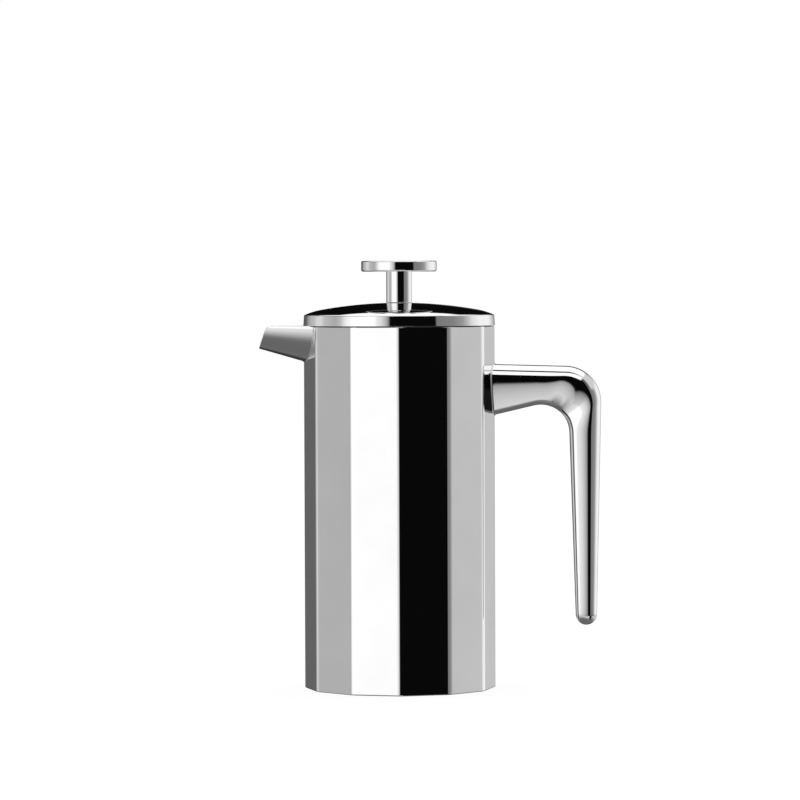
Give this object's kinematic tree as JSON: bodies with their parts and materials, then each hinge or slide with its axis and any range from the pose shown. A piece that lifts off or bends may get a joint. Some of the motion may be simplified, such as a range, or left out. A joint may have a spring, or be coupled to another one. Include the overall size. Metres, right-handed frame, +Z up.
{
  "type": "french press",
  "caption": "Double-walled twelve-sided steel french press with a spout, a hooked handle, a domed lift-off lid with strainer collar and a knobbed plunger carrying a mesh filter.",
  "frame": {"origin": "on the body's axis, on the plane of the foot that the press stands on", "axes": "+Z up along the body's axis and the plunger's rod, +X towards the handle, -X towards the spout, +Y across both"},
  "size_m": [0.1884, 0.1054, 0.2351],
  "materials": {
    "polished_steel": "mirror-polished stainless steel",
    "satin_steel": "satin stainless steel",
    "spring_steel": "drawn wire",
    "wire_mesh": "fine woven wire",
    "dark_silicone": "matt",
    "white_plastic": "smooth"
  },
  "bodies": {
    "vessel": {"outer_jacket": "polished_steel", "inner_beaker": "satin_steel", "rim_ring": "polished_steel", "base_plate": "satin_steel", "spout": "polished_steel", "handle": "polished_steel", "handle_backing_plate": "satin_steel"},
    "lid_rest": {"lid_seal": "dark_silicone"},
    "lid": {"lid_cover": "polished_steel", "lid_liner": "satin_steel", "strainer_collar": "satin_steel", "lid_bush": "satin_steel", "bush_nut": "satin_steel"},
    "rod_guide": {"rod_sleeve": "white_plastic"},
    "plunger": {"knob_disc": "polished_steel", "knob_stem": "polished_steel", "knob_stud": "satin_steel", "plunger_rod": "satin_steel", "rod_collar": "satin_steel", "filter_cap": "satin_steel", "edge_spring": "spring_steel", "mesh_screen": "wire_mesh", "cross_plate": "satin_steel", "filter_hub": "satin_steel"}
  },
  "joints": [
    {"name": "lid_lift", "type": "slide", "parent": "vessel", "child": "lid_rest", "axis": [0, 0, 1], "range_m": [0, 0.2]},
    {"name": "lid_turn", "type": "hinge", "parent": "lid_rest", "child": "lid", "pos_m": [0, 0, 0.2], "axis": [0, 0, 1], "continuous": true},
    {"name": "plunger_turn", "type": "hinge", "parent": "lid", "child": "rod_guide", "pos_m": [0, 0, 0.2], "axis": [0, 0, 1], "continuous": true},
    {"name": "plunger_press", "type": "slide", "parent": "rod_guide", "child": "plunger", "axis": [0, 0, 1], "range_m": [0, 0.15]}
  ]
}
